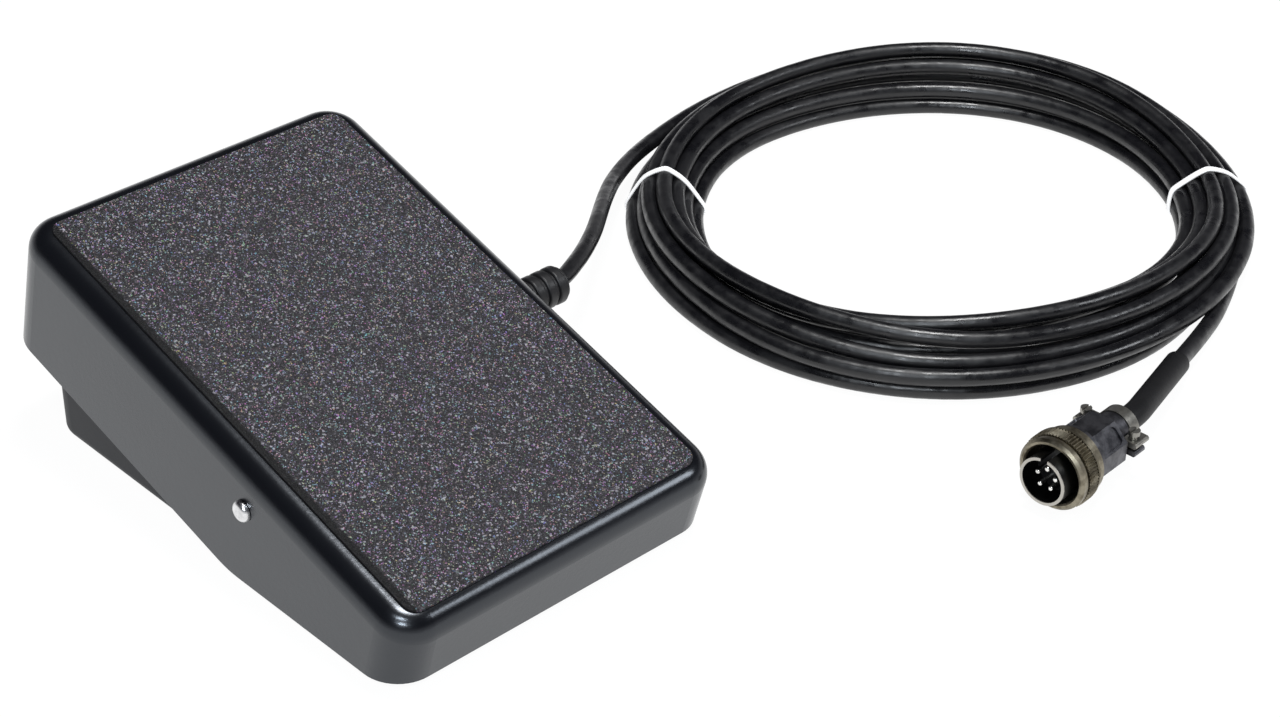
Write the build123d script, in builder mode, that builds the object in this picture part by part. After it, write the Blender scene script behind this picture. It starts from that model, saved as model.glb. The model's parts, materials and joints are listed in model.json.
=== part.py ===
"""Foot control pedal: pressed-steel treadle on a base pan, with its drive, switch, cord and plug.

Frame: millimetres, +Z up from the floor, +Y towards the tall (toe) end, +X to the user's right.
The origin is on the floor under the middle of the pedal.
"""
import os
from math import acos, cos, degrees, hypot, pi, radians, sin, sqrt, tan

from build123d import *

# ------------------------------------------------------------------ driving dimensions (mm)
# treadle
width = 140.0
length = 216.0            # along the sloping top
tilt = 16.0               # slope at rest, degrees
travel = 14.0             # full press, degrees
heel_height = 28.4        # heel edge of the top face, above the floor
sheet = 1.8
corner_r = 14.0
edge_r = 8.0
toe_depth = 51.2          # skirt under the toe half, square to the top
skirt_gap = 2.4           # heel half's lower edge, above the floor
pad_width, pad_length, pad_thick, pad_r = 124.0, 201.0, 0.9, 5.0
pad_heel_inset = 6.8
# base pan
base_width, base_length, base_wall_top = 130.0, 193.0, 46.0
base_sheet = 1.6
foot_height = 1.5
# pivot
rod_d = 5.0
pivot_from_heel, pivot_depth = 80.8, 17.3
running_gap = 0.06        # radial, of a shaft in its hole
gap = 0.3                 # between pieces that move past or up to each other
# gear drive
module = 1.0
sector_teeth_full = 168   # teeth of the whole wheel that the sector is cut from
pinion_teeth = 12
# cord and plug
cord_d = 6.6
coil_turn_r = 111.5       # middle of the bundle
coil_width, coil_height = 30.0, 24.0
coil_centre = (277.0, -25.7)
plug_heading = 4.0        # degrees from +X, from the plug's front to its cable
nut_d = 28.6

# ------------------------------------------------------------------ places worked out from them
rise, run = sin(radians(tilt)), cos(radians(tilt))
rear_reach = edge_r * (rise + run) - edge_r
front_reach = length * run + toe_depth * rise
heel_y = -(rear_reach + front_reach) / 2


def at(s, d):
    """World (y, z) of a place s up the treadle's slope and d below its top, at rest."""
    return heel_y + s * run + d * rise, heel_height + s * rise - d * run


def depth_when(y, z, press):
    """How far below the treadle's top face a fixed point lies when it is pressed by an angle."""
    a = radians(press)
    dy, dz = y - pivot_y, z - pivot_z
    back_y = pivot_y + dy * cos(a) - dz * sin(a) - heel_y
    back_z = pivot_z + dy * sin(a) + dz * cos(a) - heel_height
    return back_y * rise - back_z * run


pivot_y, pivot_z = at(pivot_from_heel, pivot_depth)
floor_z = foot_height + base_sheet                    # inside face of the pan's floor
base_y = heel_y + 14.0 + base_length / 2
top_plane = Plane(origin=(0, heel_y, heel_height), x_dir=(1, 0, 0), z_dir=(0, -rise, run))
side_plane = Plane(origin=(0, heel_y, heel_height), x_dir=(0, run, rise), z_dir=(1, 0, 0))
slope_up = Axis((0, 0, 0), (0, -rise, run))
pivot_plane = Plane(origin=(0, pivot_y, pivot_z), x_dir=(0, 1, 0), z_dir=(1, 0, 0))
pieces = {}


# ------------------------------------------------------------------ treadle
heel_depth = (heel_height - skirt_gap) / run
kink_s = (toe_depth * run - (heel_height - skirt_gap)) / rise
kink_r = 40.0

with BuildPart() as treadle_hollow:
    with BuildSketch(side_plane):
        with Locations((length / 2, -sheet - 40)):
            Rectangle(length - 2 * sheet, 80)
    extrude(amount=width / 2 - sheet, both=True)
    fillet(treadle_hollow.edges().filter_by(slope_up), corner_r - sheet)
    fillet(treadle_hollow.faces().sort_by(slope_up)[-1].edges(), edge_r - sheet)

gland_y, gland_z, gland_tip_x = 4.6, 35.5, 98.2
notch_r = 10.8
pressed = radians(travel)                              # the notch surrounds the gland at full press
notch_y = pivot_y + (gland_y - pivot_y) * cos(pressed) - (gland_z - pivot_z) * sin(pressed)
notch_z = pivot_z + (gland_y - pivot_y) * sin(pressed) + (gland_z - pivot_z) * cos(pressed)

with BuildPart() as treadle_shell:
    with BuildSketch(side_plane):
        with BuildLine():
            Polyline((0, 0), (0, -heel_depth), (kink_s, -toe_depth), (length, -toe_depth),
                     (length, 0), close=True)
        make_face()
        fillet(vertices().group_by(Axis.Y)[0].sort_by(Axis.X)[0], kink_r)
    extrude(amount=width / 2, both=True)
    fillet(treadle_shell.edges().filter_by(slope_up), corner_r)
    fillet(treadle_shell.faces().sort_by(slope_up)[-1].edges(), edge_r)
    add(treadle_hollow.part, mode=Mode.SUBTRACT)
    with BuildSketch(pivot_plane.offset(-width)):
        Circle(rod_d / 2 + running_gap)
    extrude(amount=2 * width, mode=Mode.SUBTRACT)
    with BuildSketch(Plane.YZ.offset(width / 2 - 4)):
        with Locations((notch_y, notch_z)):
            Circle(notch_r)
        with Locations((notch_y, notch_z - 30)):
            Rectangle(2 * notch_r, 60)
    extrude(amount=8, mode=Mode.SUBTRACT)
pieces["treadle_shell"] = treadle_shell

with BuildPart() as grip_pad:
    with BuildSketch(top_plane):
        with Locations((0, pad_heel_inset + pad_length / 2)):
            RectangleRounded(pad_width, pad_length, pad_r)
    extrude(amount=pad_thick)
pieces["grip_pad"] = grip_pad

# Channel welded under the treadle: a web, two ears that hang down to the pivot rod, and on each
# ear a rounded foot that works the switch.
brace_half, brace_sheet = 28.0, 2.0
brace_heel, brace_toe = 66.0, 178.0
ear_depth, ear_toe_depth = 23.5, 11.0
press_foot = (14.0, -3.0)                              # from the pivot, world y and z
press_foot_r = 3.0
sector_screw_s = (150.0, 162.0)
sector_screw_d = 7.8
web_under = sheet + brace_sheet

with BuildPart() as treadle_brace:
    for side in (-1, 1):
        with BuildSketch(side_plane.offset(side * brace_half - (brace_sheet if side > 0 else 0))):
            with BuildLine():
                Polyline((brace_heel, -sheet), (brace_heel, -ear_depth + 6),
                         (brace_heel + 6, -ear_depth), (pivot_from_heel + 16, -ear_depth),
                         (brace_heel + 48, -ear_toe_depth), (brace_toe, -ear_toe_depth),
                         (brace_toe, -sheet), close=True)
            make_face()
        extrude(amount=brace_sheet)
        with BuildSketch(pivot_plane.offset(side * brace_half - (brace_sheet if side > 0 else 0))):
            with Locations(press_foot):
                Circle(press_foot_r)
        extrude(amount=brace_sheet)
    with BuildSketch(top_plane.offset(-sheet)):
        with Locations((0, (brace_heel + brace_toe) / 2)):
            Rectangle(2 * brace_half, brace_toe - brace_heel)
    extrude(amount=-brace_sheet)
    with BuildSketch(pivot_plane.offset(-width)):
        Circle(rod_d / 2 + running_gap)
    extrude(amount=2 * width, mode=Mode.SUBTRACT)
    with BuildSketch(side_plane.offset(brace_half - 2 * brace_sheet)):
        with Locations(*[(s, -sector_screw_d) for s in sector_screw_s]):
            Circle(2.0)
    extrude(amount=3 * brace_sheet, mode=Mode.SUBTRACT)
pieces["treadle_brace"] = treadle_brace

# ------------------------------------------------------------------ gears
pressure = radians(20)
sector_r = module * sector_teeth_full / 2
pinion_r = module * pinion_teeth / 2
pinion_y, pinion_z = pivot_y + sector_r + pinion_r + 0.08, pivot_z
sector_thick = 3.0
sector_x = brace_half - brace_sheet - sector_thick
thinning = 0.10                                        # taken off each tooth, for backlash


def tooth(pitch_r, root_r, tip_r):
    """Corner points of one involute tooth that points along +X, its root sunk in the wheel."""
    base_r = pitch_r * cos(pressure)
    half = (pi * module / 2 - thinning) / (2 * pitch_r)

    def half_angle(radius):
        if radius <= base_r:
            return half + tan(pressure) - pressure
        a = acos(base_r / radius)
        return half + (tan(pressure) - pressure) - (tan(a) - a)

    radii = [root_r - 0.4, root_r] + [max(base_r, root_r) + f * (tip_r - max(base_r, root_r))
                                      for f in (0.02, 0.25, 0.5, 0.75, 1.0)]
    flank = [(r * cos(half_angle(r)), r * sin(half_angle(r))) for r in radii]
    return flank + [(x, -y) for x, y in reversed(flank)]


sector_tip, sector_root, sector_inner = sector_r + 0.65, sector_r - 1.35, sector_r - 16
tooth_step = 360 / sector_teeth_full
first_tooth, last_tooth = -2, 9
mount_tab_end = 27.0                                   # degrees above the mesh line, at rest

with BuildPart() as sector_gear:
    with BuildSketch(pivot_plane.offset(sector_x)):
        low_a, high_a = (first_tooth - 0.5) * tooth_step, (last_tooth + 0.5) * tooth_step
        with BuildLine():
            CenterArc((0, 0), sector_root, low_a, high_a - low_a)
            Line((sector_root * cos(radians(high_a)), sector_root * sin(radians(high_a))),
                 ((sector_r - 4) * cos(radians(high_a + 1)), (sector_r - 4) * sin(radians(high_a + 1))))
            CenterArc((0, 0), sector_r - 4, high_a + 1, mount_tab_end - high_a - 1)
            tab_end_y, tab_end_z = cos(radians(mount_tab_end)), sin(radians(mount_tab_end))
            Line(((sector_r - 4) * tab_end_y, (sector_r - 4) * tab_end_z),
                 (sector_inner * tab_end_y, sector_inner * tab_end_z))
            CenterArc((0, 0), sector_inner, low_a, mount_tab_end - low_a)
            Line((sector_inner * cos(radians(low_a)), sector_inner * sin(radians(low_a))),
                 (sector_root * cos(radians(low_a)), sector_root * sin(radians(low_a))))
        make_face()
        with PolarLocations(0, last_tooth - first_tooth + 1, start_angle=first_tooth * tooth_step,
                            angular_range=(last_tooth - first_tooth) * tooth_step, endpoint=True):
            Polygon(*tooth(sector_r, sector_root, sector_tip), align=None)
    extrude(amount=sector_thick)
    with BuildSketch(top_plane.offset(-web_under - gap)):
        with Locations((0, length / 2)):
            Rectangle(width, length)
    extrude(amount=30, mode=Mode.SUBTRACT)
    with BuildSketch(side_plane.offset(sector_x - 1)):
        with Locations(*[(s, -sector_screw_d) for s in sector_screw_s]):
            Circle(2.0)
    extrude(amount=sector_thick + 2, mode=Mode.SUBTRACT)
pieces["sector_gear"] = sector_gear

with BuildPart() as sector_screws:
    with BuildSketch(side_plane.offset(sector_x)):
        with Locations(*[(s, -sector_screw_d) for s in sector_screw_s]):
            Circle(2.0)
    extrude(amount=sector_thick + brace_sheet)
    with BuildSketch(side_plane.offset(brace_half)):
        with Locations(*[(s, -sector_screw_d) for s in sector_screw_s]):
            Circle(3.2)
    extrude(amount=2.4)
    fillet(sector_screws.edges().group_by(Axis.X)[-1], 1.0)
pieces["sector_screws"] = sector_screws

pot_axis = Plane(origin=(0, pinion_y, pinion_z), x_dir=(0, 1, 0), z_dir=(1, 0, 0))
pot_plate_x, bracket_sheet = 6.0, 1.6
shaft_r, bushing_r, pot_r = 3.175, 4.75, 12.0

with BuildPart() as pinion:
    with BuildSketch(pot_axis.offset(sector_x - 1.5)):
        Circle(pinion_r - 1.25)
        with PolarLocations(0, pinion_teeth, start_angle=180 / pinion_teeth):
            Polygon(*tooth(pinion_r, pinion_r - 1.25, pinion_r + 0.95), align=None)
    extrude(amount=sector_thick + 3)
    with BuildSketch(pot_axis.offset(sector_x - 5.5)):
        Circle(pinion_r)
    extrude(amount=4)
    with BuildSketch(pot_axis.offset(0)):
        Circle(shaft_r)
    extrude(amount=40, mode=Mode.SUBTRACT)
    with BuildSketch(Plane.XY.offset(pinion_z)):
        with Locations((sector_x - 3.5, pinion_y)):
            Circle(1.25)
    extrude(amount=pinion_r + 1, mode=Mode.SUBTRACT)
pieces["pinion"] = pinion

with BuildPart() as pinion_set_screw:
    with BuildSketch(Plane.XY.offset(pinion_z + shaft_r)):
        with Locations((sector_x - 3.5, pinion_y)):
            Circle(1.25)
            RegularPolygon(0.7, 6, mode=Mode.SUBTRACT)
    extrude(amount=pinion_r - shaft_r - 0.2)
    with BuildSketch(Plane.XY.offset(pinion_z + shaft_r)):
        with Locations((sector_x - 3.5, pinion_y)):
            Circle(1.25)
    extrude(amount=1.0)
pieces["pinion_set_screw"] = pinion_set_screw

# ------------------------------------------------------------------ potentiometer
pot_back_x, pot_depth = pot_plate_x - 12.0, 12.0

with BuildPart() as pot_shaft:
    with BuildSketch(pot_axis.offset(pot_back_x + 4)):
        Circle(shaft_r)
    extrude(amount=sector_x + sector_thick + 3 - pot_back_x - 4)
    chamfer(pot_shaft.edges().group_by(Axis.X)[-1], 0.6)
pieces["pot_shaft"] = pot_shaft

with BuildPart() as pot_body:
    with BuildSketch(pot_axis.offset(pot_back_x)):
        Circle(pot_r)
    extrude(amount=pot_depth)
    fillet(pot_body.edges().group_by(Axis.X)[0], 1.2)
    with BuildSketch(pot_axis.offset(pot_plate_x)):
        Circle(bushing_r)
    extrude(amount=8)
    with BuildSketch(pot_axis.offset(pot_back_x + 4 - gap)):
        Circle(shaft_r + running_gap)
    extrude(amount=30, mode=Mode.SUBTRACT)
pieces["pot_body"] = pot_body

terminal_z = [pinion_z + step for step in (-5, 0, 5)]
with BuildPart() as pot_terminals:
    with BuildSketch(Plane.YZ.offset(pot_back_x + 7)):
        for z in terminal_z:
            with Locations((pinion_y - pot_r - 3, z)):
                SlotOverall(9, 3)
    extrude(amount=0.8)
    with BuildSketch(pot_axis.offset(pot_back_x)):
        Circle(pot_r)
    extrude(amount=pot_depth, mode=Mode.SUBTRACT)
pieces["pot_terminals"] = pot_terminals

with BuildPart() as pot_washer:
    with BuildSketch(pot_axis.offset(pot_plate_x + bracket_sheet)):
        Circle(7.5)
        Circle(bushing_r, mode=Mode.SUBTRACT)
    extrude(amount=0.8)
pieces["pot_washer"] = pot_washer

with BuildPart() as pot_nut:
    with BuildSketch(pot_axis.offset(pot_plate_x + bracket_sheet + 0.8)):
        RegularPolygon(6.35, 6, major_radius=False)
        Circle(bushing_r, mode=Mode.SUBTRACT)
    extrude(amount=2.4)
pieces["pot_nut"] = pot_nut

pot_flange_end, pot_bracket_width, pot_rivet_x, pot_rivet_step = 20.0, 26.0, 14.0, 8.0
with BuildPart() as pot_bracket:
    with BuildSketch(Plane.YZ.offset(pot_plate_x)):
        with Locations((pinion_y, (floor_z + 47) / 2)):
            Rectangle(pot_bracket_width, 47 - floor_z)
    extrude(amount=bracket_sheet)
    fillet(pot_bracket.edges().filter_by(Axis.X).group_by(Axis.Z)[-1], 8)
    with BuildSketch(Plane.XY.offset(floor_z)):
        with Locations(((pot_plate_x + pot_flange_end) / 2, pinion_y)):
            Rectangle(pot_flange_end - pot_plate_x, pot_bracket_width)
    extrude(amount=bracket_sheet)
    fillet(pot_bracket.edges().filter_by(Axis.Y).group_by(Axis.Z)[0].sort_by(Axis.X)[0], 2.0)
    with BuildSketch(pot_axis.offset(0)):
        Circle(bushing_r)
    extrude(amount=20, mode=Mode.SUBTRACT)
    with BuildSketch(Plane.XY):
        with Locations((pot_rivet_x, pinion_y - pot_rivet_step), (pot_rivet_x, pinion_y + pot_rivet_step)):
            Circle(1.6)
    extrude(amount=10, mode=Mode.SUBTRACT)
pieces["pot_bracket"] = pot_bracket

# ------------------------------------------------------------------ on/off switch
switch_x, switch_thick = -27.0, 10.3
switch_y, switch_length, switch_height = pivot_y + 13.0, 27.8, 15.9
button_travel = 3.35
foot_low = pivot_z + press_foot[1] - press_foot_r
button_top = foot_low - gap
switch_top = button_top - 4.4
switch_mid_y = switch_y + 5.9 - 8.0
button_r, button_sink = 2.6, 6.0
switch_screw_y = (switch_mid_y - 11.1, switch_mid_y + 11.1)
switch_plate_x = switch_x - switch_thick / 2 - bracket_sheet

with BuildPart() as switch_button:
    with BuildSketch(Plane.XY.offset(switch_top - button_sink)):
        with Locations((switch_x, switch_y)):
            Circle(button_r)
    extrude(amount=button_top - switch_top + button_sink)
    fillet(switch_button.edges().group_by(Axis.Z)[-1], 0.6)
pieces["switch_button"] = switch_button

with BuildPart() as switch_body:
    with BuildSketch(Plane.XY.offset(switch_top - switch_height)):
        with Locations((switch_x, switch_mid_y)):
            Rectangle(switch_thick, switch_length)
    extrude(amount=switch_height)
    fillet(switch_body.edges().filter_by(Axis.X), 1.0)
    with BuildSketch(Plane.XY.offset(switch_top - button_sink - button_travel - 0.8)):
        with Locations((switch_x, switch_y)):
            Circle(button_r + running_gap)
    extrude(amount=20, mode=Mode.SUBTRACT)
    with BuildSketch(Plane.YZ.offset(-60)):
        with Locations(*[(y, switch_top - 12.6) for y in switch_screw_y]):
            Circle(1.5)
    extrude(amount=60, mode=Mode.SUBTRACT)
pieces["switch_body"] = switch_body

with BuildPart() as switch_bracket:
    with BuildSketch(Plane.YZ.offset(switch_plate_x)):
        with Locations((switch_mid_y, (floor_z + switch_top - 2) / 2)):
            Rectangle(switch_length, switch_top - 2 - floor_z)
    extrude(amount=bracket_sheet)
    with BuildSketch(Plane.XY.offset(floor_z)):
        with Locations((switch_plate_x - 5.2, switch_mid_y)):
            Rectangle(13.6, switch_length)
    extrude(amount=bracket_sheet)
    fillet(switch_bracket.edges().filter_by(Axis.Y).group_by(Axis.Z)[0].sort_by(Axis.X)[-1], 2.0)
    with BuildSketch(Plane.YZ.offset(-60)):
        with Locations(*[(y, switch_top - 12.6) for y in switch_screw_y]):
            Circle(1.5)
    extrude(amount=60, mode=Mode.SUBTRACT)
    with BuildSketch(Plane.XY):
        with Locations((-40, switch_mid_y - 8), (-40, switch_mid_y + 8)):
            Circle(1.6)
    extrude(amount=10, mode=Mode.SUBTRACT)
pieces["switch_bracket"] = switch_bracket

with BuildPart() as switch_screws:
    with BuildSketch(Plane.YZ.offset(switch_plate_x)):
        with Locations(*[(y, switch_top - 12.6) for y in switch_screw_y]):
            Circle(1.5)
    extrude(amount=bracket_sheet + switch_thick)
    with BuildSketch(Plane.YZ.offset(switch_x + switch_thick / 2)):
        with Locations(*[(y, switch_top - 12.6) for y in switch_screw_y]):
            Circle(2.8)
    extrude(amount=1.9)
    fillet(switch_screws.edges().group_by(Axis.X)[-1], 0.8)
pieces["switch_screws"] = switch_screws

switch_blade_z = (switch_top - 5, switch_top - 12)
switch_end_y = switch_mid_y - switch_length / 2
with BuildPart() as switch_terminals:
    with BuildSketch(Plane.XZ.offset(-switch_end_y)):
        for z in switch_blade_z:
            with Locations((switch_x, z)):
                Rectangle(4.8, 0.8)
    extrude(amount=7)
pieces["switch_terminals"] = switch_terminals

# ------------------------------------------------------------------ return springs
spring_x, spring_y = 12.0, heel_y + 128.0
spring_top = pivot_z + 0.123 * (spring_y - pivot_y)     # here the cup's end swings straight down
spring_r, spring_wire, spring_turns = 5.7, 1.6, 7.0
locator_flange = 2.0
spring_low = floor_z + locator_flange

with BuildPart() as return_springs:
    for x in (-spring_x, spring_x):
        height = spring_top - gap - spring_low
        with BuildLine(Plane.XY.offset(spring_low + spring_wire / 2).move(Location((x, spring_y, 0)))):
            Helix((height - spring_wire) / spring_turns, height - spring_wire, spring_r)
        with BuildSketch(Plane(origin=(x + spring_r, spring_y, spring_low + spring_wire / 2),
                               x_dir=(1, 0, 0), z_dir=(0, 1, 0))):
            Circle(spring_wire / 2)
        sweep(is_frenet=True)
pieces["return_springs"] = return_springs

with BuildPart() as spring_cups:
    with BuildSketch(Plane.XY.offset(spring_top - 3)):
        with Locations((-spring_x, spring_y), (spring_x, spring_y)):
            Circle(9.0)
    extrude(amount=40)
    with BuildSketch(Plane.XY.offset(spring_top - 3)):
        with Locations((-spring_x, spring_y), (spring_x, spring_y)):
            Circle(7.6)
    extrude(amount=3, mode=Mode.SUBTRACT)
    with BuildSketch(Plane.XY.offset(spring_top + 2)):
        with Locations((-spring_x, spring_y), (spring_x, spring_y)):
            Circle(7.0)
    extrude(amount=40, mode=Mode.SUBTRACT)
    with BuildSketch(top_plane.offset(-web_under)):
        with Locations((0, length / 2)):
            Rectangle(width, length)
    extrude(amount=60, mode=Mode.SUBTRACT)
pieces["spring_cups"] = spring_cups

with BuildPart() as spring_locators:
    with BuildSketch(Plane.XY.offset(foot_height + 0.2)):
        with Locations((-spring_x, spring_y), (spring_x, spring_y)):
            Circle(2.0)
    extrude(amount=base_sheet - 0.2)
    with BuildSketch(Plane.XY.offset(floor_z)):
        with Locations((-spring_x, spring_y), (spring_x, spring_y)):
            Circle(8.5)
    extrude(amount=locator_flange)
    with BuildSketch(Plane.XY.offset(floor_z + locator_flange)):
        with Locations((-spring_x, spring_y), (spring_x, spring_y)):
            Circle(4.6)
    extrude(amount=6)
    chamfer(spring_locators.edges().group_by(Axis.Z)[-1], 1.0)
pieces["spring_locators"] = spring_locators

# ------------------------------------------------------------------ stops
bumper_r, bumper_dome_r = 8.0, 10.0
dome_drop = bumper_dome_r - sqrt(bumper_dome_r ** 2 - bumper_r ** 2)
dome_from = degrees(acos(bumper_r / bumper_dome_r))
stop_half, stop_flange, stop_depth = 17.0, 10.0, 16.0


def stop_dome_z(y, press):
    """Height of the dome's centre, so that the treadle just reaches the dome at this press."""
    wanted = sheet + bumper_dome_r + gap
    return (depth_when(y, 0, press) - wanted) / cos(radians(tilt - press))


heel_stop_y, toe_stop_y = heel_y + 30.0, heel_y + 195.0
stops = {"heel": (heel_stop_y, stop_dome_z(heel_stop_y, 0)),
         "toe": (toe_stop_y, stop_dome_z(toe_stop_y, travel))}

for end, (y, dome_z) in stops.items():
    stop_top = dome_z - 1.0
    with BuildPart() as stop_bracket:
        with BuildSketch(Plane.XZ.offset(-y - stop_depth / 2)):
            with BuildLine():
                Polyline((-stop_half - stop_flange, floor_z), (-stop_half, floor_z),
                         (-stop_half, stop_top), (stop_half, stop_top), (stop_half, floor_z),
                         (stop_half + stop_flange, floor_z),
                         (stop_half + stop_flange, floor_z + bracket_sheet),
                         (stop_half + bracket_sheet, floor_z + bracket_sheet),
                         (stop_half + bracket_sheet, stop_top + bracket_sheet),
                         (-stop_half - bracket_sheet, stop_top + bracket_sheet),
                         (-stop_half - bracket_sheet, floor_z + bracket_sheet),
                         (-stop_half - stop_flange, floor_z + bracket_sheet), close=True)
            make_face()
        extrude(amount=stop_depth)
        with BuildSketch(Plane.XY):
            with Locations((-stop_half - 5.8, y), (stop_half + 5.8, y)):
                Circle(1.6)
        extrude(amount=10, mode=Mode.SUBTRACT)
        with BuildSketch(Plane.XY.offset(stop_top - 1)):
            with Locations((0, y)):
                Circle(2.5)
        extrude(amount=5, mode=Mode.SUBTRACT)
    pieces[end + "_stop_bracket"] = stop_bracket

    with BuildPart() as bumper:
        with BuildSketch(Plane.XZ.offset(-y)):
            with BuildLine():
                low = stop_top + bracket_sheet
                Polyline((0, dome_z + bumper_dome_r), (0, stop_top - 2.5), (2.5, stop_top - 2.5),
                         (2.5, low), (bumper_r, low), (bumper_r, dome_z + bumper_dome_r - dome_drop))
                CenterArc((0, dome_z), bumper_dome_r, dome_from, 90 - dome_from)
            make_face()
        revolve(axis=Axis((0, y, 0), (0, 0, 1)))
    pieces[end + "_bumper"] = bumper

# ------------------------------------------------------------------ base pan, feet, rivets, rod
rivet_places = [(pot_rivet_x, pinion_y - pot_rivet_step), (pot_rivet_x, pinion_y + pot_rivet_step),
                (-40, switch_mid_y - 8), (-40, switch_mid_y + 8)]
rivet_places += [(side * (stop_half + 5.8), y) for y in (heel_stop_y, toe_stop_y) for side in (-1, 1)]
foot_places = [(sx * 47, base_y + sy * 78) for sx in (-1, 1) for sy in (-1, 1)]
wall_slope_start = heel_height - sheet / run - 2.0      # wall top under the heel edge, extended

with BuildPart() as base_pan:
    with BuildSketch(Plane.XY.offset(foot_height)):
        with Locations((0, base_y)):
            RectangleRounded(base_width, base_length, 12)
    extrude(amount=base_wall_top - foot_height)
    fillet(base_pan.faces().sort_by(Axis.Z)[0].edges(), 4.0)
    with BuildSketch(Plane.XY.offset(floor_z)):
        with Locations((0, base_y)):
            RectangleRounded(base_width - 2 * base_sheet, base_length - 2 * base_sheet, 12 - base_sheet)
    extrude(amount=60, mode=Mode.SUBTRACT)
    fillet(base_pan.edges().filter_by_position(Axis.Z, floor_z - 0.01, floor_z + 0.01), 2.4)
    with BuildSketch(Plane.YZ.offset(-width / 2)):
        with BuildLine():
            Polyline((heel_y, wall_slope_start), (heel_y + 100, wall_slope_start + 100 * tan(radians(tilt))),
                     (heel_y + 100, 90), (heel_y, 90), close=True)
        make_face()
    extrude(amount=width, mode=Mode.SUBTRACT)
    with BuildSketch(pivot_plane.offset(-width / 2)):
        Circle(rod_d / 2)
    extrude(amount=width, mode=Mode.SUBTRACT)
    with BuildSketch(Plane.YZ.offset(50)):
        with Locations((gland_y, gland_z)):
            Circle(7.6)
    extrude(amount=30, mode=Mode.SUBTRACT)
    with BuildSketch(Plane.XY):
        with Locations(*rivet_places):
            Circle(1.6)
        with Locations((-spring_x, spring_y), (spring_x, spring_y)):
            Circle(2.0)
    extrude(amount=8, mode=Mode.SUBTRACT)
pieces["base_pan"] = base_pan

with BuildPart() as rubber_feet:
    with BuildSketch(Plane.XY):
        with Locations(*foot_places):
            Circle(9)
    extrude(amount=foot_height)
    chamfer(rubber_feet.edges().group_by(Axis.Z)[0], 0.4)
pieces["rubber_feet"] = rubber_feet

rivet_low, rivet_high = foot_height - 0.9, floor_z + bracket_sheet
with BuildPart() as one_rivet:
    with BuildSketch(Plane.XZ):
        Polygon((0, rivet_low), (2.4, rivet_low), (3.2, rivet_low + 0.5), (3.2, foot_height),
                (1.6, foot_height), (1.6, rivet_high), (3.2, rivet_high), (3.2, rivet_high + 0.4),
                (2.4, rivet_high + 0.9), (0, rivet_high + 0.9), align=None)
    revolve(axis=Axis.Z)

with BuildPart() as bracket_rivets:
    with Locations(*[(x, y, 0) for x, y in rivet_places]):
        add(one_rivet.part)
pieces["bracket_rivets"] = bracket_rivets

head_r, head_high = 3.9, 2.4
rod_end_x = width / 2 + 1.4
with BuildPart() as pivot_rod:
    with BuildSketch(pivot_plane.offset(-width / 2 - 0.2)):
        Circle(rod_d / 2)
    extrude(amount=rod_end_x + width / 2 + 0.2)
    with BuildSketch(pivot_plane.offset(-width / 2 - 0.2)):
        Circle(head_r)
    extrude(amount=-head_high)
    fillet(pivot_rod.edges().group_by(Axis.X)[0], 2.0)
pieces["pivot_rod"] = pivot_rod

with BuildPart() as rod_retaining_cap:
    with BuildSketch(pivot_plane.offset(width / 2 + 0.2)):
        Circle(head_r)
    extrude(amount=head_high)
    fillet(rod_retaining_cap.edges().group_by(Axis.X)[-1], 2.0)
    with BuildSketch(pivot_plane.offset(width / 2)):
        Circle(rod_d / 2)
    extrude(amount=1.4, mode=Mode.SUBTRACT)
pieces["rod_retaining_cap"] = rod_retaining_cap

with BuildPart() as pivot_spacers:
    for x in (-width / 2 + sheet + 0.2, base_width / 2):
        with BuildSketch(pivot_plane.offset(x)):
            Circle(6)
            Circle(rod_d / 2, mode=Mode.SUBTRACT)
        extrude(amount=(width - base_width) / 2 - sheet - 0.2)
pieces["pivot_spacers"] = pivot_spacers

# ------------------------------------------------------------------ cord gland
gland_axis = Plane(origin=(0, gland_y, gland_z), x_dir=(0, 1, 0), z_dir=(1, 0, 0))
wall_x = base_width / 2
cap_start = wall_x + 7.5
cap_r, cord_r = 7.3, cord_d / 2
ring_pitch, ring_groove = 5.0, 1.0
mouth_start = gland_tip_x - 10.8                       # from here the cord bends in a flared mouth

with BuildPart() as gland_body:
    with BuildSketch(gland_axis.offset(wall_x - 9)):
        Circle(7.6)
    extrude(amount=9)
    with BuildSketch(gland_axis.offset(wall_x)):
        RegularPolygon(9.5, 6, major_radius=False)
    extrude(amount=2.6)
    with BuildSketch(gland_axis.offset(wall_x + 2.6)):
        Circle(6.4)
    extrude(amount=cap_start - wall_x - 2.6)
    with BuildSketch(gland_axis.offset(0)):
        Circle(cord_r + 0.05)
    extrude(amount=120, mode=Mode.SUBTRACT)
pieces["gland_body"] = gland_body

with BuildPart() as gland_cap:
    with BuildSketch(gland_axis.offset(cap_start)):
        Circle(cap_r - ring_groove)
    extrude(amount=gland_tip_x - cap_start - 0.8)
    for k in range(5):
        with BuildSketch(gland_axis.offset(cap_start + k * ring_pitch)):
            Circle(cap_r)
        extrude(amount=ring_pitch - 1.0)
    fillet(gland_cap.edges().filter_by(GeomType.CIRCLE).filter_by(lambda e: e.radius > cap_r - 0.1), 0.9)
    with BuildSketch(gland_axis.offset(cap_start)):
        Circle(cord_r + 0.05)
    extrude(amount=60, mode=Mode.SUBTRACT)
    with BuildSketch(gland_axis.offset(mouth_start)):
        Circle(cord_r + 0.05)
    with BuildSketch(gland_axis.offset(gland_tip_x)):
        Circle(cord_r + 1.6)
    loft(mode=Mode.SUBTRACT)
pieces["gland_cap"] = gland_cap

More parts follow.
